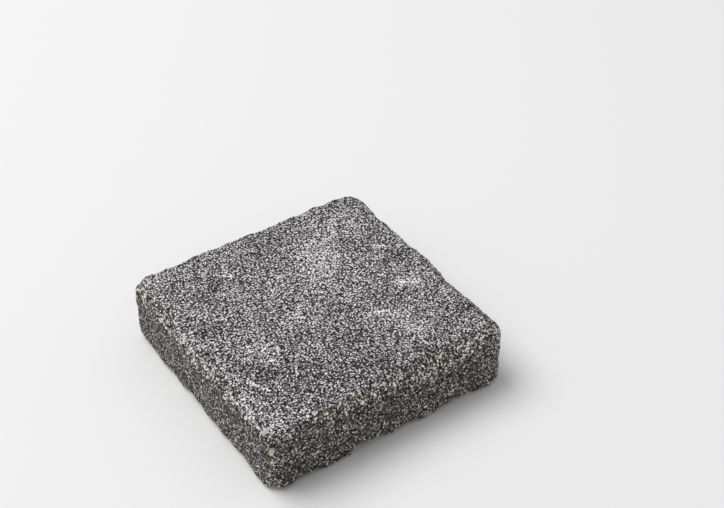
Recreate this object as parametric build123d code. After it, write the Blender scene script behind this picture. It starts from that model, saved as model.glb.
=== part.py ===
from build123d import *
import os
from math import cos, log, pi, radians, sin

# A square concrete paving stone with tumbled edges.
# It lies on its bed face. X and Y run along the sides, the origin is under its middle.

# Driving dimensions in millimetres
length = 200.0
width = 200.0
thickness = 52.0

# Rounding of the four upright corners, seen from above, at the bed face
front_left_radius = 14.0
front_right_radius = 16.0
back_right_radius = 14.0
back_left_radius = 13.0

# The same corners at the walking face, where the front left one kept its crisp upper end
front_left_walking_radius = 9.0
front_right_walking_radius = 15.0
back_right_walking_radius = 14.0
back_left_walking_radius = 13.0

# Rounding of the arris round the walking face, at each corner and where each side is worn most
front_left_arris = 4.0
front_arris = 13.0
front_right_arris = 11.0
right_arris = 8.0
back_right_arris = 8.5
back_arris = 7.0
back_left_arris = 7.0
left_arris = 9.0

# Place along each side, from 0 to 1 anticlockwise, where that arris is worn most
front_worn_place = 0.62
right_worn_place = 0.5
back_worn_place = 0.5
left_worn_place = 0.45

# Rounding of the arris round the bed face
bed_arris = 4.5

# Each arris rolls through this many degrees, and so meets its flat face in a faint crease
arris_roll = 80.0

# The flanks belly out at half height and waver along their length, always inside the overall size
flank_belly = 0.6
flank_waver = 0.6
waves_per_side = 3
arris_swell = 0.14

# How finely the outline, the arrises and the flanks are drawn
corner_steps = 5
side_steps = 12
arris_steps = 6
flank_steps = 3

FRONT, RIGHT, BACK, LEFT = range(4)
FRONT_LEFT, FRONT_RIGHT, BACK_RIGHT, BACK_LEFT = range(4)

# Upright corners, anticlockwise from the front left one: side signs, and the arris above each
corner_signs = ((-1, -1), (1, -1), (1, 1), (-1, 1))
corner_arris = (front_left_arris, front_right_arris, back_right_arris, back_left_arris)
bed_radii = (front_left_radius, front_right_radius, back_right_radius, back_left_radius)
walking_radii = (
    front_left_walking_radius,
    front_right_walking_radius,
    back_right_walking_radius,
    back_left_walking_radius,
)

# The arris of each side where it is worn most, and that place
side_arris = (front_arris, right_arris, back_arris, left_arris)
worn_places = (front_worn_place, right_worn_place, back_worn_place, left_worn_place)

# Scars where pieces were knocked off the arris of the walking face while the block tumbled.
# Side, place along it from 0 to 1 anticlockwise, half length, depth, and the lean of the blow:
# 90 degrees strikes straight down on the walking face and 0 degrees level on the flank.
walking_scars = (
    (FRONT, 0.14, 15.0, 1.6, 18),
    (FRONT, 0.24, 12.0, 1.3, 46),
    (FRONT, 0.34, 16.0, 2.2, 38),
    (FRONT, 0.55, 34.0, 3.1, 48),
    (FRONT, 0.61, 18.0, 2.3, 33),
    (FRONT, 0.75, 22.0, 2.6, 46),
    (FRONT, 0.88, 15.0, 1.5, 58),
    (RIGHT, 0.12, 17.0, 1.6, 48),
    (RIGHT, 0.33, 27.0, 2.2, 40),
    (RIGHT, 0.43, 13.0, 1.5, 57),
    (RIGHT, 0.63, 20.0, 1.7, 44),
    (RIGHT, 0.80, 16.0, 1.8, 34),
    (BACK, 0.12, 15.0, 1.3, 40),
    (BACK, 0.25, 8.5, 1.6, 60),
    (BACK, 0.44, 24.0, 1.8, 42),
    (BACK, 0.63, 13.0, 1.2, 55),
    (BACK, 0.82, 19.0, 1.5, 38),
    (LEFT, 0.10, 13.0, 1.3, 45),
    (LEFT, 0.27, 21.0, 2.0, 38),
    (LEFT, 0.37, 11.0, 1.6, 56),
    (LEFT, 0.50, 22.0, 2.8, 34),
    (LEFT, 0.56, 10.0, 1.7, 60),
    (LEFT, 0.70, 19.0, 2.6, 42),
    (LEFT, 0.85, 15.0, 1.9, 50),
)

# Scars on the arris of the bed face. The lean is measured from level downwards.
bed_scars = (
    (FRONT, 0.16, 16.0, 1.3, 44),
    (FRONT, 0.37, 9.5, 4.9, 34),
    (FRONT, 0.42, 13.0, 3.3, 36),
    (FRONT, 0.56, 17.0, 1.5, 40),
    (FRONT, 0.78, 22.0, 1.8, 36),
    (RIGHT, 0.20, 18.0, 1.8, 42),
    (RIGHT, 0.48, 14.0, 1.3, 34),
    (RIGHT, 0.74, 21.0, 2.0, 45),
    (BACK, 0.18, 15.0, 1.4, 40),
    (BACK, 0.44, 20.0, 1.7, 38),
    (BACK, 0.79, 16.0, 3.0, 34),
    (LEFT, 0.17, 15.0, 0.9, 42),
    (LEFT, 0.45, 17.0, 1.5, 36),
    (LEFT, 0.60, 14.0, 1.3, 46),
    (LEFT, 0.80, 13.0, 0.8, 38),
)

# Scars on the corners: corner, half length, depth, lean
walking_corner_scars = (
    (FRONT_LEFT, 10.0, 1.8, 52),
    (FRONT_RIGHT, 12.0, 1.8, 40),
    (BACK_RIGHT, 9.0, 1.5, 48),
    (BACK_LEFT, 8.0, 1.2, 36),
)
bed_corner_scars = (
    (FRONT_LEFT, 9.0, 1.3, 42),
    (FRONT_RIGHT, 11.0, 1.8, 38),
    (BACK_RIGHT, 8.0, 1.2, 44),
    (BACK_LEFT, 10.0, 1.5, 40),
)


def corner_arc(corner, radius):
    """Points on the rounding of one upright corner, anticlockwise."""
    sign_x, sign_y = corner_signs[corner]
    centre = Vector(sign_x * (length / 2 - radius), sign_y * (width / 2 - radius))
    angles = [pi + (corner + step / corner_steps) * pi / 2 for step in range(corner_steps + 1)]
    return [centre + Vector(cos(angle), sin(angle)) * radius for angle in angles]


def face_outline(radii):
    """Points round the stone, closer together near its corners, with their side and place."""
    result = []
    for side, radius in enumerate(radii):
        following = (side + 1) % len(radii)
        arc = corner_arc(side, radius)
        side_end = corner_arc(following, radii[following])[0]
        result += [(point, side, 0) for point in arc]
        for step in range(1, side_steps):
            place = (1 - cos(pi * step / side_steps)) / 2
            result.append((arc[-1] + (side_end - arc[-1]) * place, side, place))
    return result


def walking_arris(side, place):
    """Rounding of the arris over one side: its corners' own at the ends, most at its worn place."""
    worn = place ** (log(0.5) / log(worn_places[side]))
    middle = sin(pi * worn) ** 2
    swell = 1 + arris_swell * sin(2 * pi * (waves_per_side * place + side / len(side_arris)))
    from_corner = corner_arris[side]
    to_corner = corner_arris[(side + 1) % len(corner_arris)]
    between_corners = from_corner + (to_corner - from_corner) * worn
    return between_corners * (1 - middle) + side_arris[side] * swell * middle


def waver_inset(side, place):
    """How far one side wavers inside the overall size."""
    return flank_waver * sin(pi * waves_per_side * place) ** 2 * cos(pi * (place - side / 4)) ** 2


def flank_inset(height, waver):
    """How far the flank lies inside the overall size at one height."""
    from_middle = 2 * height / thickness - 1
    return flank_belly * from_middle**2 + waver


def ring(heights_and_insets):
    """Closed smooth curve through one height and inset at every point of the outline.

    Going up, the corners change from their rounding at the bed face to that at the walking face.
    """
    points = []
    for index, (height, inset) in enumerate(heights_and_insets):
        below = bed_outline[index][0]
        above = walking_outline[index][0]
        point = below + (above - below) * (height / thickness)
        # The inset is a scaling, so it takes a little more off at the corners
        x = point.X * (1 - 2 * inset / length)
        y = point.Y * (1 - 2 * inset / width)
        points.append((x, y, height))
    return Wire([Edge.make_spline(points, periodic=True, parameters=outline_lengths)])


def rolled(turn):
    """Part of an arris's height and of its depth that lies below one turn of its roll."""
    angle = radians(arris_roll) * turn
    return sin(angle) / sin(radians(arris_roll)), (1 - cos(angle)) / (1 - cos(radians(arris_roll)))


def bed_ring(turn):
    """Ring on the lower arris: turn 0 lies on the bed face, turn 1 on the flank."""
    part_height, part_depth = rolled(1 - turn)
    height = bed_arris * (1 - part_height)
    levels = []
    for _, side, place in bed_outline:
        waver = waver_inset(side, place)
        levels.append((height, bed_arris * part_depth + flank_inset(height, waver)))
    return ring(levels)


def flank_ring(turn):
    """Ring on the flank: turn 0 lies on the lower arris, turn 1 on the upper one."""
    rise = (1 - cos(pi * turn)) / 2
    levels = []
    for _, side, place in bed_outline:
        height = bed_arris + (thickness - walking_arris(side, place) - bed_arris) * rise
        levels.append((height, flank_inset(height, waver_inset(side, place))))
    return ring(levels)


def walking_ring(turn):
    """Ring on the upper arris: turn 0 lies on the flank, turn 1 on the walking face."""
    part_height, part_depth = rolled(turn)
    levels = []
    for _, side, place in bed_outline:
        arris = walking_arris(side, place)
        height = thickness - arris * (1 - part_height)
        inset = arris * part_depth + flank_inset(height, waver_inset(side, place))
        levels.append((height, inset))
    return ring(levels)


def cast_block():
    """The block with its worn arrises, before single pieces were knocked off."""
    rings = [bed_ring(step / arris_steps) for step in range(arris_steps)]
    rings += [flank_ring(step / flank_steps) for step in range(flank_steps + 1)]
    rings += [walking_ring((step + 1) / arris_steps) for step in range(arris_steps)]
    return Solid.make_loft(rings, ruled=True)


def side_spot(side, place):
    """Point on the overall size of one side, and the level direction out of it."""
    sign_x, sign_y = corner_signs[side]
    next_x, next_y = corner_signs[(side + 1) % len(corner_signs)]
    x = (sign_x + (next_x - sign_x) * place) * length / 2
    y = (sign_y + (next_y - sign_y) * place) * width / 2
    angle = (side - 1) * pi / 2
    return Vector(x, y), Vector(cos(angle), sin(angle))


def corner_spot(corner, radius):
    """Point on the rounding of one upright corner, and the level direction out of it."""
    sign_x, sign_y = corner_signs[corner]
    out = Vector(sign_x, sign_y).normalized()
    centre = Vector(sign_x * (length / 2 - radius), sign_y * (width / 2 - radius))
    return centre + out * radius, out


def scar_ball(spot, out, arris, face_height, half_length, depth, lean):
    """Ball whose shell leaves a shallow hollow of one depth across a rounded arris."""
    ball_radius = (half_length**2 + depth**2) / (2 * depth)
    upwards = 1 if face_height > 0 else -1
    blow = out * cos(radians(lean)) + Vector(0, 0, upwards * sin(radians(lean)))
    arris_centre = spot - out * arris + Vector(0, 0, face_height - upwards * arris)
    return Pos(*(arris_centre + blow * (arris + ball_radius - depth))) * Sphere(ball_radius)


def walking_scar_balls():
    """Balls for the scars round the walking face, on its sides and then on its corners."""
    balls = []
    for side, place, half_length, depth, lean in walking_scars:
        spot, out = side_spot(side, place)
        arris = walking_arris(side, place)
        spot -= out * flank_inset(thickness - arris, waver_inset(side, place))
        balls.append(scar_ball(spot, out, arris, thickness, half_length, depth, lean))
    for corner, half_length, depth, lean in walking_corner_scars:
        spot, out = corner_spot(corner, walking_radii[corner])
        arris = corner_arris[corner]
        balls.append(scar_ball(spot, out, arris, thickness, half_length, depth, lean))
    return balls


def bed_scar_balls():
    """Balls for the scars round the bed face, on its sides and then on its corners."""
    balls = []
    for side, place, half_length, depth, lean in bed_scars:
        spot, out = side_spot(side, place)
        spot -= out * flank_inset(bed_arris, waver_inset(side, place))
        balls.append(scar_ball(spot, out, bed_arris, 0, half_length, depth, lean))
    for corner, half_length, depth, lean in bed_corner_scars:
        spot, out = corner_spot(corner, bed_radii[corner])
        balls.append(scar_ball(spot, out, bed_arris, 0, half_length, depth, lean))
    return balls


bed_outline = face_outline(bed_radii)
walking_outline = face_outline(walking_radii)

# Every ring gives a point the same share of its way round, so that the rings line up
outline_lengths = [0.0]
for here, there in zip(bed_outline, bed_outline[1:] + bed_outline[:1]):
    outline_lengths.append(outline_lengths[-1] + (there[0] - here[0]).length)

paving_stone = cast_block().cut(*walking_scar_balls(), *bed_scar_balls())

os.makedirs("parts", exist_ok=True)
export_step(paving_stone, "parts/paving_stone.step")
print("paving_stone valid:", paving_stone.is_valid, "volume:", round(paving_stone.volume))
print("overall size:", paving_stone.bounding_box().size)
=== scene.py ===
# %% [markdown]
# # A tumbled concrete paving stone
#
# The stone is one pressed block of charcoal concrete. It was tumbled in a drum after it had
# set, so its arrises are rounded and scarred, and pale sand shows wherever the dark cement
# skin has worn through. The solid model already holds the block, its rounded corners and its
# scars. This lesson gives it the grain of concrete: a rough skin cut from the solid, sand
# grains that stand proud of it, and a finish that is pale on the sand and dark in the pores.
#
# The first cell loads the solid model and measures it. Everything that follows is worked out
# from those measures, in metres, in the solid model's own frame.

# %% Load the solid model
import math
import random

import bmesh
import bpy
from mathutils import Matrix, Vector, noise
from mathutils.bvhtree import BVHTree


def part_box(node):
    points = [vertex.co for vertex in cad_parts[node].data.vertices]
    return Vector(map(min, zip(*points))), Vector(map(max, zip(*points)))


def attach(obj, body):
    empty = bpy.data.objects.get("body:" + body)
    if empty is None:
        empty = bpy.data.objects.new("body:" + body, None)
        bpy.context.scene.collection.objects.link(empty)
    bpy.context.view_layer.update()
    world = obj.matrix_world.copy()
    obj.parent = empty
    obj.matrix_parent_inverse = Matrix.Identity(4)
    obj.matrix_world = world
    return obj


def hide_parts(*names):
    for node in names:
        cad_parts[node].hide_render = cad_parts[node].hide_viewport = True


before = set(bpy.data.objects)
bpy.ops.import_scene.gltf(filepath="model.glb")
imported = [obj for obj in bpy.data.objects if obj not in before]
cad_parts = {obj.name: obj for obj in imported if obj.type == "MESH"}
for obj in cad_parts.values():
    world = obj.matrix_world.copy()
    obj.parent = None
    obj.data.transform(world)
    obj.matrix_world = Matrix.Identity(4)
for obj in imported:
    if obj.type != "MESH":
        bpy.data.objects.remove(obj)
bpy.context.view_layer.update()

MM = 0.001
low, high = (Vector(corner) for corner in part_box("paving_stone"))
length, width, thickness = high - low
middle = (low + high) / 2
print("stone", [round(size / MM, 1) for size in (length, width, thickness)], "mm")

# %% [markdown]
# ## The rough skin
#
# Concrete has no smooth faces. Sand, pores and worn cement make a relief of a few tenths of a
# millimetre, and of a millimetre or two on a worn arris. It could be bump alone, but then the
# edge of the stone against the floor would be a clean line. So the solid's mesh is copied,
# welded, and cut into even cells about a millimetre across by a voxel remesh. Smoothing then
# takes off the crisp rims that the scars have in the solid, as the drum did on the real one.

# %% Copy the solid's mesh, weld it and cut it into even cells
cell_size = 1.16 * MM
weld_gap = 0.01 * MM
smoothing_rounds = 2
smoothing_strength = 0.5


def even_cells(name, source, size):
    """A welded copy of a mesh, remade in square cells."""
    mesh = source.data.copy()
    mesh.name = name
    shape = bmesh.new()
    shape.from_mesh(mesh)
    bmesh.ops.remove_doubles(shape, verts=shape.verts, dist=weld_gap)
    shape.to_mesh(mesh)
    shape.free()
    rough = bpy.data.objects.new(name, mesh)
    bpy.context.collection.objects.link(rough)
    remesh = rough.modifiers.new("even cells", "REMESH")
    remesh.mode = "VOXEL"
    remesh.voxel_size = size
    evaluated = rough.evaluated_get(bpy.context.evaluated_depsgraph_get())
    rough.data = bpy.data.meshes.new_from_object(evaluated)
    rough.modifiers.clear()
    bpy.data.meshes.remove(mesh)
    rough.data.name = name
    return rough


skin = even_cells("concrete_skin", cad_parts["paving_stone"], cell_size)
shape = bmesh.new()
shape.from_mesh(skin.data)
for _ in range(smoothing_rounds):
    bmesh.ops.smooth_vert(
        shape, verts=shape.verts, factor=smoothing_strength,
        use_axis_x=True, use_axis_y=True, use_axis_z=True,
    )
shape.normal_update()
print("skin", len(shape.verts), "points,", len(shape.faces), "cells")

# %% [markdown]
# ## A flat map of the skin
#
# A bake of the finish into a picture needs a flat map of the skin. The block
# is a box, so six islands do it: each cell goes to the side of the box that it faces most.
# The choice is made now, while the skin is smooth, so that the islands have clean borders.

# %% Lay the skin out flat in six islands
map_gap = 4 * MM
flank_strip = thickness + 2 * map_gap
sheet_side = max(length + width, width + 4 * flank_strip) + 3 * map_gap
island_corner = {
    "top": Vector((map_gap, map_gap)),
    "bed": Vector((length + 2 * map_gap, map_gap)),
    "front": Vector((map_gap, width + 2 * map_gap)),
    "back": Vector((map_gap, width + 2 * map_gap + flank_strip)),
    "left": Vector((length + 2 * map_gap, width + 2 * map_gap)),
    "right": Vector((length + 2 * map_gap, width + 2 * map_gap + flank_strip)),
}


def island_of(normal):
    """The side of the box that a cell faces most."""
    size = [abs(part) for part in normal]
    axis = size.index(max(size))
    low_side, high_side = (("left", "right"), ("front", "back"), ("bed", "top"))[axis]
    return high_side if normal[axis] > 0 else low_side


def flat_place(island, point):
    """Where a point of one island lies on the map."""
    x, y, z = point - low
    along = {
        "top": (x, y), "bed": (length - x, y),
        "front": (x, z), "back": (length - x, z),
        "left": (width - y, z), "right": (y, z),
    }[island]
    return (island_corner[island] + Vector(along)) / sheet_side


bake_map = shape.loops.layers.uv.new("OFBake")
for face in shape.faces:
    island = island_of(face.normal)
    for corner in face.loops:
        corner[bake_map].uv = flat_place(island, corner.vert.co)
print("map side", round(sheet_side / MM), "mm")

# %% [markdown]
# ## Scuffs, dark places and scratches
#
# On the real stone the drum and the other blocks rubbed some places of the walking face pale
# and left others dark, and sharp corners drew a few thin scratches across it. They could be
# painted, but they are few, so each is one line of a table: a soft oval, or a line from end
# to end. A little noise shifts every point before it is measured, so the marks get ragged.

# %% Place the scuffs, the dark places and the scratches
# Pale scuffs in millimetres: middle, half length, half width, turn in degrees, strength.
# A strength below nought is a dark place that nothing rubbed.
scuffs = (
    (33, 44, 34, 17, 62, 1.0), (56, 70, 16, 9, 20, 0.5), (73, 70, 11, 7, 80, 0.6),
    (-88, 88, 12, 9, 45, 0.9), (-55, -18, 18, 8, 84, 0.7), (-22, -4, 15, 8, 10, 0.7),
    (-9, 35, 13, 7, 30, 0.6), (23, -6, 9, 6, 0, 0.5), (36, -42, 22, 9, -35, 0.7),
    (44, -60, 12, 9, 20, 0.6), (25, -79, 9, 5, -60, 0.6), (-92, -84, 15, 10, 60, 0.5),
    (-70, 31, 17, 4, -31, 0.6), (64, 17, 5, 4, 0, 0.5), (-95, 16, 66, 6, 90, 0.6),
    (93, -45, 45, 6, 90, 0.4), (-95, -54, 26, 6, 90, 0.6), (70, -18, 9, 5, -40, 0.7),
    (88, -86, 11, 6, 45, 0.8),
    (-25, -66, 46, 20, -8, -0.5), (-66, -44, 17, 8, -50, -0.8), (4, -75, 16, 8, 0, -0.8),
    (-10, -48, 15, 10, 0, -0.7), (-48, -87, 12, 7, 0, -0.6), (-54, 53, 15, 9, 30, -0.7),
    (-78, 17, 11, 8, 0, -0.7), (78, 12, 10, 7, 0, -0.8), (57, -30, 9, 6, 0, -0.7),
    (-3, 74, 13, 8, 0, -0.6), (81, -65, 12, 9, 0, -0.6), (40, -84, 10, 6, 0, -0.6),
)
scuff_ragged_size = 9 * MM
scuff_ragged_reach = 3.5 * MM
scuff_core, scuff_rim = 0.3, 1.5

# Thin pale scratches in millimetres, from end to end
scratches = (
    (-44, 66, -35, 59), (65, -17, 75, -24), (-82, -41, -74, -58), (-21, -5, -14, -9),
    (-58, -22, -51, -19), (-61, -33, -55, -35), (-49, -30, -47, -24), (-46, -48, -51, -56),
    (72, 30, 80, 24), (-64, -12, -66, -20), (24, -31, 38, -36), (-97, -43, -97, -54),
)
scratch_ragged_size = 3 * MM
scratch_ragged_reach = 0.7 * MM
scratch_half_width = 0.65 * MM
scratch_core, scratch_rim = 0.4, 1.6


def eased(value, start, end):
    """0 before start, 1 after end, and smooth between them."""
    share = min(max((value - start) / (end - start), 0), 1)
    return share * share * (3 - 2 * share)


def scuffing(point):
    """How far the walking face is scuffed at a point, or below 0 how dark it stayed."""
    ragged = noise.noise_vector(point / scuff_ragged_size) * scuff_ragged_reach
    palest = darkest = 0
    for x, y, half_length, half_width, turn, strength in scuffs:
        offset = (point + ragged - Vector((x * MM, y * MM, point.z))).to_2d()
        offset.rotate(Matrix.Rotation(-math.radians(turn), 2))
        distance = Vector((offset.x / half_length, offset.y / half_width)).length / MM
        mark = strength * (1 - eased(distance, scuff_core, scuff_rim))
        palest = max(palest, mark)
        darkest = min(darkest, mark)
    return palest + darkest


def scratched(point):
    """1 on a scratch, 0 away from it."""
    ragged = noise.noise_vector(point / scratch_ragged_size) * scratch_ragged_reach
    flat = (point + ragged).to_2d()
    nearest = 1
    for x1, y1, x2, y2 in scratches:
        start = Vector((x1, y1)) * MM
        along = Vector((x2, y2)) * MM - start
        share = min(max((flat - start).dot(along) / along.length_squared, 0), 1)
        nearest = min(nearest, (flat - start - along * share).length)
    return 1 - eased(nearest / scratch_half_width, scratch_core, scratch_rim)


print("marks", len(scuffs), "ovals,", len(scratches), "lines")

# %% [markdown]
# ## Where the drum wore the stone
#
# The finish needs to know more about each place than where it lies: whether it belongs to the
# flat walking face, whether it lies on an arris, and how far it was scuffed or scratched. The
# first two could be painted by hand, but the smooth skin's direction gives them away: it
# turns from the axes only on an arris or a corner. All four are kept on the skin's points,
# where the finish reads them by name.

# %% Mark the walking face, the arrises, the scuffs and the scratches
arris_starts, arris_full = 0.01, 0.16
level_starts, level_full = 0.93, 0.99
walking_drop = 4 * MM
scuffed_above = 0.3

walked = shape.verts.layers.float.new("walked")
arris = shape.verts.layers.float.new("arris")
scuff = shape.verts.layers.float.new("scuff")
scratch = shape.verts.layers.float.new("scratch")
for point in shape.verts:
    steepest = max(abs(part) for part in point.normal)
    point[arris] = eased(1 - steepest, arris_starts, arris_full)
    point[walked] = eased(point.normal.z, level_starts, level_full)
    point[walked] *= eased(point.co.z, high.z - walking_drop, high.z)
    if point.normal.z > scuffed_above:
        point[scuff] = scuffing(point.co)
        point[scratch] = scratched(point.co)
print("walking face", sum(point[walked] > 0.5 for point in shape.verts), "points")

# %% [markdown]
# ## Relief
#
# Four sizes of relief lie on top of each other. Broad waves of a few centimetres come from
# the mould and the drum. Lumps just under a centimetre across are stones that lie below the
# surface. Grain of two millimetres is the sand, and it is what the eye sees first. Single
# pits are air bubbles and places where a grain fell out. The walking face was struck flat in
# the press, so it has little of the big forms, and the worn arrises have the most. A sculptor
# would press all this in bit by bit. Noise of four sizes does it for the whole skin at once,
# and moves each point along its own direction. Nothing is pushed outside the solid's box, so
# the stone keeps its size, and the tips of the sand on the walking face are cut level, as the
# drum cut them.

# %% Press the relief into the skin
broad_wave = 34 * MM
broad_depth = 0.5 * MM
lump_size = 8 * MM
lump_depth = 0.8 * MM
lump_shift = Vector((5, 1, 8))
grain_size = 1.9 * MM
grain_depth = 0.7 * MM
grain_contrast = 0.75
grain_shift = Vector((2, 7, 3))
grain_middle = 0.6
pit_spacing = 4.6 * MM
pit_reach = 0.36
pit_depth = 1.0 * MM
pit_numbers = 7.3
no_pit_below = 0.2
smallest_pit = 0.6
skin_drop = 0.12 * MM
# How much of the sand's depth a level face loses, how much of the other forms it keeps, and
# how much more of the waves and lumps a worn arris has
struck_share = 0.4
flat_face_share = 0.2
worn_share = 0.7


def pit(point):
    """How deep in a pit a point lies, from 0 to 1. Most cells of the pattern have no pit."""
    distances, places = noise.voronoi(point / pit_spacing)
    own_number = noise.cell(places[0] * pit_numbers)
    if own_number < no_pit_below:
        return 0
    reach = pit_reach * (smallest_pit + own_number / 2)
    return max(0, 1 - (distances[0] / reach) ** 2)


def grain(point):
    """The sand at a point: 0 in the gaps between grains, 1 on their tips."""
    return min(max(noise.noise(point / grain_size + grain_shift) * grain_contrast + 0.5, 0), 1)


def forms(point):
    """Depth of the waves and lumps at a point, as much out as in."""
    broad = noise.noise(point / broad_wave)
    lumps = noise.noise(point / lump_size + lump_shift)
    return broad_depth * broad + lump_depth * lumps


def within_box(point):
    """The point, or the nearest one to it in the solid's box."""
    return [min(max(value, bottom), top) for value, bottom, top in zip(point, low, high)]


tip = shape.verts.layers.float.new("tip")
depths = []
for point in shape.verts:
    level = eased(abs(point.normal.z), level_starts, level_full)
    hole = pit(point.co)
    sand = grain(point.co)
    point[tip] = sand * (1 - hole)
    sand_part = (1 - struck_share * level) * grain_depth * (grain_middle - sand)
    worn = 1 + worn_share * point[arris]
    form_part = (1 - (1 - flat_face_share) * level) * (forms(point.co) * worn + pit_depth * hole)
    depths.append(skin_drop + sand_part + form_part)
places = [point.co - point.normal * depth for point, depth in zip(shape.verts, depths)]
for point, place in zip(shape.verts, places):
    point.co = within_box(place)
shape.normal_update()
shape.to_mesh(skin.data)
skin.data.shade_smooth()
depths.sort()
print("relief", [round(depths[(len(depths) - 1) * i // 5] / MM, 2) for i in range(6)], "mm deep")

# %% [markdown]
# ## Which grains of sand stand proud
#
# Where the cement skin is broken, whole grains of sand show: white, cream, grey, brown, black
# and a few pink ones, one to three millimetres across. They are thickest on the arrises and
# thinner on the flanks, they crowd together in places, and there are none on the walking
# face, which was struck flat. A few bigger stones lie singly, most of them near the front
# left corner and along the front arris. Each cell of the skin draws lots for a grain, and the
# single stones have a table and are put on the nearest spot of the skin. The next cell only
# lists them all.

# %% List the grains of sand
arris_chance = 0.11
flank_chance = 0.06
crowd_size = 9 * MM
crowding = 2.2
smallest_grain = 0.45 * MM
largest_grain = 1.3 * MM
# Least and most that a grain is stretched along, across and out of the skin
stretches = ((0.9, 1.5), (0.7, 1.0), (0.6, 0.9))
sand_tones = {
    "white": (0.93, 0.91, 0.88), "cream": (0.84, 0.77, 0.66), "pale grey": (0.55, 0.54, 0.53),
    "brown": (0.34, 0.25, 0.17), "pink": (0.80, 0.55, 0.44), "black": (0.03, 0.03, 0.03),
}
sand_shares = (32, 32, 22, 8, 1, 5)
# Single bigger stones in millimetres: place, length, width, tone
single_stones = (
    (-95, -88, 51, 8.0, 4.5, "pale grey"), (-83, -97, 49, 5.0, 3.4, "white"),
    (-97, -98, 42, 6.6, 4.4, "pink"), (-99, -98, 37, 4.6, 3.4, "cream"),
    (-75, -97, 46, 3.6, 2.6, "cream"), (-59, 6, 52, 2.8, 2.2, "brown"),
    (-97, 12, 44, 3.8, 2.8, "cream"), (-25, -98, 46, 4.0, 3.0, "cream"),
    (-14, -98, 48, 3.6, 2.8, "white"), (4, -98, 47, 4.2, 3.0, "cream"),
    (-50, -98, 43, 3.8, 2.8, "cream"), (60, -98, 34, 3.8, 2.8, "cream"),
    (22, -98, 30, 3.6, 2.8, "white"), (36, -98, 45, 3.4, 2.6, "pale grey"),
)
stone_flatness = 0.9
random.seed(41)

grains = []
for face in shape.faces:
    corner = face.verts[0]
    chance = flank_chance + (arris_chance - flank_chance) * corner[arris]
    chance *= (1 - corner[walked]) * (1 + crowding * noise.noise(corner.co / crowd_size))
    if random.random() > chance:
        continue
    size = smallest_grain + (largest_grain - smallest_grain) * random.random() ** 2
    sizes = Vector([random.uniform(*stretch) for stretch in stretches]) * size
    tone = random.choices(list(sand_tones), sand_shares)[0]
    turn = random.uniform(0, 2 * math.pi)
    grains.append((face.calc_center_median(), face.normal.copy(), sizes, tone, turn))

surface = BVHTree.FromBMesh(shape)
for x, y, z, stone_length, stone_width, tone in single_stones:
    spot, out, _, _ = surface.find_nearest(Vector((x, y, z)) * MM)
    sizes = Vector((stone_length, stone_width, stone_width * stone_flatness)) * MM / 2
    grains.append((spot, out, sizes, tone, math.pi / 2))
print("grains", len(grains))

# %% [markdown]
# ## Setting the grains in the skin
#
# Painted dots would lie in the surface and have no edge of light, so each grain is a little
# stone with twenty faces, stretched, turned, and sunk until three quarters of its depth is in
# the skin. One mesh holds them all. The operator that makes a grain goes through the whole
# mesh each time, which gets slow in a big one, so the grains are made a handful at a time and
# then joined.

# %% Set the grains in the skin
# How far a grain's middle lies under the skin, as a share of half its depth
sunk_share = 0.5
handful_size = 100


def set_grain(handful, tone_layer, spot, out, sizes, tone, turn):
    """One grain of sand, its flattest way out of the surface."""
    turned = out.to_track_quat("Z", "Y").to_matrix().to_4x4()
    spun = Matrix.Rotation(turn, 4, "Z")
    stretched = Matrix.Diagonal((*sizes, 1))
    where = Matrix.Translation(spot - out * sizes.z * sunk_share)
    made = bmesh.ops.create_icosphere(
        handful, subdivisions=1, radius=1, matrix=where @ turned @ spun @ stretched,
    )
    for point in made["verts"]:
        point[tone_layer] = (*sand_tones[tone], 1)
        point.co = within_box(point.co)


sand_mesh = bpy.data.meshes.new("proud_sand")
sand_bed = bmesh.new()
for start in range(0, len(grains), handful_size):
    handful = bmesh.new()
    tone_layer = handful.verts.layers.float_color.new("tone")
    for grain_settings in grains[start:start + handful_size]:
        set_grain(handful, tone_layer, *grain_settings)
    handful.to_mesh(sand_mesh)
    handful.free()
    sand_bed.from_mesh(sand_mesh)
sand_bed.to_mesh(sand_mesh)
sand_bed.free()
shape.free()
proud_sand = bpy.data.objects.new("proud_sand", sand_mesh)
bpy.context.collection.objects.link(proud_sand)
print("proud sand", len(sand_mesh.polygons), "triangles")

# %% [markdown]
# ## Shader maths
#
# A finish is a long sum of patterns. Written node by node it is hard to read, so one small
# class wraps a node's output, and ordinary signs between two of them add the Math node.

# %% A value in a finish
class Value:
    """One output of a node, which can be added, multiplied and so on."""

    def __init__(self, finish, socket):
        self.finish = finish
        self.socket = socket

    def maths(self, operation, *values):
        return self.finish.node("ShaderNodeMath", {"operation": operation}, dict(enumerate(values)))

    def __add__(self, other):
        return self.maths("ADD", self, other)

    def __sub__(self, other):
        return self.maths("SUBTRACT", self, other)

    def __rsub__(self, other):
        return self.maths("SUBTRACT", other, self)

    def __mul__(self, other):
        return self.maths("MULTIPLY", self, other)

    __radd__ = __add__
    __rmul__ = __mul__

    def ramped(self, start, end, to_start=0.0, to_end=1.0):
        """Eased from one value to another while this one goes from start to end."""
        return self.finish.node(
            "ShaderNodeMapRange",
            {"interpolation_type": "SMOOTHSTEP"},
            {"Value": self, "From Min": start, "From Max": end, "To Min": to_start, "To Max": to_end},
        )


# %% [markdown]
# ## A finish, node by node
#
# A second class holds the material. One method adds any node, and the rest are named after
# what they draw: soft clouds, grains with a tone each, and the gaps between grains. A picture
# of concrete could be wrapped round the block, but it would show a seam at every arris. These
# patterns are worked out from the place in space, so they run round the arrises unbroken.

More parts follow.
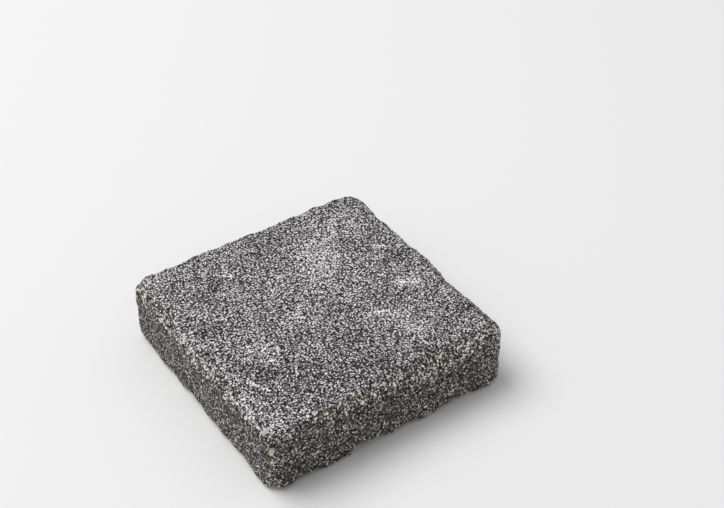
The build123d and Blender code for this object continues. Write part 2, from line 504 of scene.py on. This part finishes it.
# %% The finish that holds the values
class Finish:
    """A material that is built up from nodes."""

    def __init__(self, name):
        self.material = bpy.data.materials.new(name)
        self.material.use_nodes = True
        self.tree = self.material.node_tree
        self.tree.nodes.clear()

    def node(self, kind, settings=None, inputs=None, output=0):
        """Adds a node: its settings first, then the values or links of its inputs."""
        node = self.tree.nodes.new(kind)
        for name, value in (settings or {}).items():
            if name == "stops":
                self.set_stops(node.color_ramp, value)
            else:
                setattr(node, name, value)
        for name, value in (inputs or {}).items():
            if isinstance(value, Value):
                self.tree.links.new(value.socket, node.inputs[name])
            else:
                node.inputs[name].default_value = value
        return Value(self, node.outputs[output]) if node.outputs else None

    def set_stops(self, ramp, stops):
        """Gives a colour ramp its stops, each a place and a colour."""
        while len(ramp.elements) < len(stops):
            ramp.elements.new(1)
        for element, (place, colour) in zip(ramp.elements, stops):
            element.position = place
            element.color = (*colour, 1)

    def place(self):
        return self.node("ShaderNodeTexCoord", output="Object")

    def kept(self, name):
        """A number that was kept on the mesh's points."""
        return self.node("ShaderNodeAttribute", {"attribute_name": name}, output="Fac")

    def moved(self, place, shift):
        """The same place, shifted, so that two patterns of one kind don't coincide."""
        return self.node("ShaderNodeVectorMath", {"operation": "ADD"}, {0: place, 1: shift})

    def clouds(self, place, size, detail=2.0, roughness=0.6):
        """Soft noise whose blobs are about one size across."""
        return self.node(
            "ShaderNodeTexNoise",
            inputs={"Vector": place, "Scale": 1 / size, "Detail": detail, "Roughness": roughness},
        )

    def shaken(self, place, size, reach):
        """The same place, pushed about a little, so that cells lose their straight borders."""
        push = self.node(
            "ShaderNodeTexNoise", inputs={"Vector": place, "Scale": 1 / size}, output="Color",
        )
        return self.node(
            "ShaderNodeVectorMath", {"operation": "MULTIPLY_ADD"},
            {0: push, 1: (reach, reach, reach), 2: place},
        )

    def grains(self, place, size):
        """Cells about one size across, each with a number of its own from 0 to 1."""
        cells = self.node(
            "ShaderNodeTexVoronoi", inputs={"Vector": place, "Scale": 1 / size}, output="Color",
        )
        return self.node("ShaderNodeSeparateColor", inputs={0: cells})

    def gaps(self, place, size):
        """0 in the middle of such a cell, about 1 in the gap between two."""
        return self.node("ShaderNodeTexVoronoi", inputs={"Vector": place, "Scale": 1 / size})

    def coloured(self, value, stops):
        """A number turned into a colour: stops are pairs of the number and its colour."""
        return self.node("ShaderNodeValToRGB", {"stops": stops}, {"Fac": value})

    def mixed(self, share, first, second):
        """Two colours mixed. The node has its colour inputs at 6 and 7, its colour output at 2."""
        return self.node(
            "ShaderNodeMix", {"data_type": "RGBA"}, {0: share, 6: first, 7: second}, output=2,
        )

    def bumped(self, height, depth, strength=1.0):
        """A surface direction that leans as if the height were this deep."""
        return self.node(
            "ShaderNodeBump", inputs={"Strength": strength, "Distance": depth, "Height": height},
        )

    def surface(self, inputs):
        """Ends the finish with a shader."""
        shader = self.node("ShaderNodeBsdfPrincipled", inputs=inputs)
        self.node("ShaderNodeOutputMaterial", inputs={"Surface": shader})
        return self.material


# %% [markdown]
# ## The charcoal concrete
#
# The mix is coloured right through with a black pigment, but what shows is a salt-and-pepper
# of three things: charcoal cement, pale grains of sand whose tops the drum has rubbed clean,
# and pores and gaps between grains, which are painted near black as shade. So one number says
# how bare the sand is at each spot, and at its low end how deep the painted shade is. It is
# high in the middle of a grain and low in the gap between two or in a pit, and it differs from
# grain to grain. A ramp turns it into painted black shade, charcoal, grey and near white. On
# the walking face the colours are grey and cool. On the flanks and arrises the cement is
# browner and the sand is cream, partly because that concrete lay against the mould and was
# never struck flat, and partly as the warm tint of the light in shade, painted in. A scuff or a
# scratch raises the number, so more grains there turn pale, and a dark place lowers it.

# %% Mix the concrete's finish
# Stops of the two ramps: how bare the sand is, and the colour there. The first, near-black stop
# of each is painted shade in the pores and in the gaps between grains.
walking_stops_with_pore_shade = (
    (0.18, (0.006, 0.005, 0.006)), (0.23, (0.112, 0.102, 0.109)), (0.50, (0.212, 0.196, 0.207)),
    (0.60, (0.46, 0.440, 0.455)), (0.72, (0.93, 0.91, 0.925)),
)
# The flank stops are browner partly from the mould and partly as painted warm shade light
flank_stops_with_painted_shade = (
    (0.04, (0.006, 0.005, 0.005)), (0.12, (0.054, 0.046, 0.042)), (0.58, (0.122, 0.106, 0.096)),
    (0.69, (0.42, 0.39, 0.35)), (0.77, (0.93, 0.88, 0.83)),
)
bump_depth = 0.5 * MM


def charcoal_concrete():
    """The finish of the skin."""
    finish = Finish("charcoal_concrete")
    place = finish.place()
    walked, arris, scuff, scratch, tip = (
        finish.kept(name) for name in ("walked", "arris", "scuff", "scratch", "tip")
    )

    # Sand of three sizes, then blotches of half a centimetre and of two centimetres
    sand = finish.clouds(place, 0.95 * MM, 1.0, 0.5)
    shaken = finish.shaken(place, 1.1 * MM, 0.3 * MM)
    grain = finish.grains(shaken, 0.75 * MM)
    gap = finish.gaps(shaken, 1.6 * MM)
    ragged = finish.clouds(finish.moved(place, (0.3, 0.1, 0.2)), 5 * MM)
    patches = finish.clouds(finish.moved(place, (0.7, 0.2, 0.4)), 22 * MM, 3.0)

    # The walking face ends in a ragged line, and a scuffed arris takes its colour too
    on_top = walked + arris * scuff * 0.8 + (sand - 0.5) * 0.8 + (ragged - 0.5) * 1.4
    on_top = on_top.ramped(0.35, 0.65)

    # How bare the sand is, with painted near-black shade at its low end in the gaps and pits:
    # each pattern swings about nought, and 0.5 is added at the end
    bare_or_pore_shade = (0.5 - gap) * 1.35 + (grain - 0.5) * 0.6 + (sand - 0.5) * 0.55 + (tip - 0.5) * 0.2 + 0.5
    top_bare_or_pore_shade = bare_or_pore_shade + scuff * 0.15 + scratch * 0.55 + patches.ramped(0.36, 0.66) * 0.03 - 0.18
    side_bare_or_pore_shade = bare_or_pore_shade + arris * 0.08 + (ragged - 0.5) * 0.5 - 0.22
    # The flank colour holds its own brown and also the painted warm tint of shade light
    side_colour_with_painted_shade = finish.coloured(side_bare_or_pore_shade, flank_stops_with_painted_shade)
    colour = finish.mixed(on_top, side_colour_with_painted_shade, finish.coloured(top_bare_or_pore_shade, walking_stops_with_pore_shade))

    # Bare sand is a little smoother than cement
    rough = bare_or_pore_shade.ramped(0.4, 0.8).ramped(0.0, 1.0, 0.95, 0.78)
    bump = finish.bumped(sand + tip * 0.3, bump_depth)
    return finish.surface({"Base Color": colour, "Roughness": rough, "Normal": bump})


skin.data.materials.clear()
skin.data.materials.append(charcoal_concrete())
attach(skin, "root")
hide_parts("paving_stone")
print("finish", len(skin.active_material.node_tree.nodes), "nodes")

# %% [markdown]
# ## The sand's own finish
#
# Each proud grain has its tone on its points. Cement and dust still cling to it, so soft
# noise mixes a dark brown into the tone and gives the grain an uneven, slightly rough face.

# %% Mix the finish of the proud grains
dirt_colour = (0.10, 0.09, 0.08, 1)
dirt_share = 0.4
dirt_size = 0.9 * MM
chipped_depth = 0.2 * MM


def worn_sand():
    """The finish of the proud grains."""
    finish = Finish("worn_sand")
    tone = finish.node("ShaderNodeVertexColor", {"layer_name": "tone"})
    dirt = finish.clouds(finish.place(), dirt_size)
    colour = finish.mixed(dirt.ramped(0.42, 0.62) * dirt_share, tone, dirt_colour)
    rough = dirt * 0.3 + 0.6
    bump = finish.bumped(dirt, chipped_depth, 0.6)
    return finish.surface({"Base Color": colour, "Roughness": rough, "Normal": bump})


sand_mesh.materials.append(worn_sand())
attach(proud_sand, "root")
print("finish", len(proud_sand.active_material.node_tree.nodes), "nodes")

# %% [markdown]
# ## Floor
#
# The stone lies on a plain white sheet, so big that its edge is out of the way. It is matt,
# so it keeps the stone's soft shadow and mirrors next to nothing.

# %% Lay the floor
floor_half = 3.0
floor_white = (0.86, 0.86, 0.86, 1)
floor_shape = bmesh.new()
bmesh.ops.create_grid(floor_shape, x_segments=1, y_segments=1, size=floor_half)
floor_mesh = bpy.data.meshes.new("floor")
floor_shape.to_mesh(floor_mesh)
floor_shape.free()
floor = bpy.data.objects.new("floor", floor_mesh)
bpy.context.collection.objects.link(floor)
paper = Finish("white_sheet")
floor.data.materials.append(paper.surface({"Base Color": floor_white, "Roughness": 0.9}))
print("floor", 2 * floor_half, "m square")

# %% [markdown]
# ## Light
#
# One big soft lamp stands high behind the stone and to its left, so the walking face is
# bright and the front flank is in shade. A pale room fills the shadows.

# %% Light the stone
lamp_direction = Vector((-0.34, 0.42, 1.0)).normalized()
lamp_distance = 4.0
lamp_size = 3.3
lamp_power = 118
room_strength = 0.45
lamp_data = bpy.data.lights.new("window_lamp", "AREA")
lamp_data.shape = "DISK"
lamp_data.size = lamp_size
lamp_data.energy = lamp_power
lamp = bpy.data.objects.new("window_lamp", lamp_data)
lamp.location = middle + lamp_direction * lamp_distance
lamp.rotation_euler = lamp_direction.to_track_quat("Z", "Y").to_euler()
bpy.context.collection.objects.link(lamp)

room = bpy.data.worlds.new("pale_room")
room.use_nodes = True
background = room.node_tree.nodes["Background"]
background.inputs["Color"].default_value = (1, 1, 1, 1)
background.inputs["Strength"].default_value = room_strength
bpy.context.scene.world = room
print("lamp", [round(part, 2) for part in lamp.location], "m")

# %% [markdown]
# ## Camera
#
# The camera looks down on the front left corner from about a metre away. Its place, its
# direction and its lens are those that the stone's corners in the photograph fit.

# %% Place the camera
camera_azimuth = math.radians(-34.10)
camera_elevation = math.radians(39.54)
camera_roll = math.radians(-0.16)
camera_place = Vector((-392.3, -639.7, 715.9)) * MM
sensor_width = 36.0
picture_width = 724
focal_pixels = 1385.8
camera_data = bpy.data.cameras.new("camera")
camera_data.sensor_width = sensor_width
camera_data.lens = focal_pixels / picture_width * sensor_width
camera = bpy.data.objects.new("camera", camera_data)
turn = Matrix.Rotation(camera_azimuth, 4, "Z") @ Matrix.Rotation(math.pi / 2 - camera_elevation, 4, "X")
camera.matrix_world = Matrix.Translation(camera_place) @ turn @ Matrix.Rotation(camera_roll, 4, "Z")
bpy.context.collection.objects.link(camera)
bpy.context.scene.camera = camera
bpy.context.scene.view_settings.view_transform = "Standard"
print("lens", round(camera_data.lens, 1), "mm,", round((camera_place - middle).length, 2), "m away")
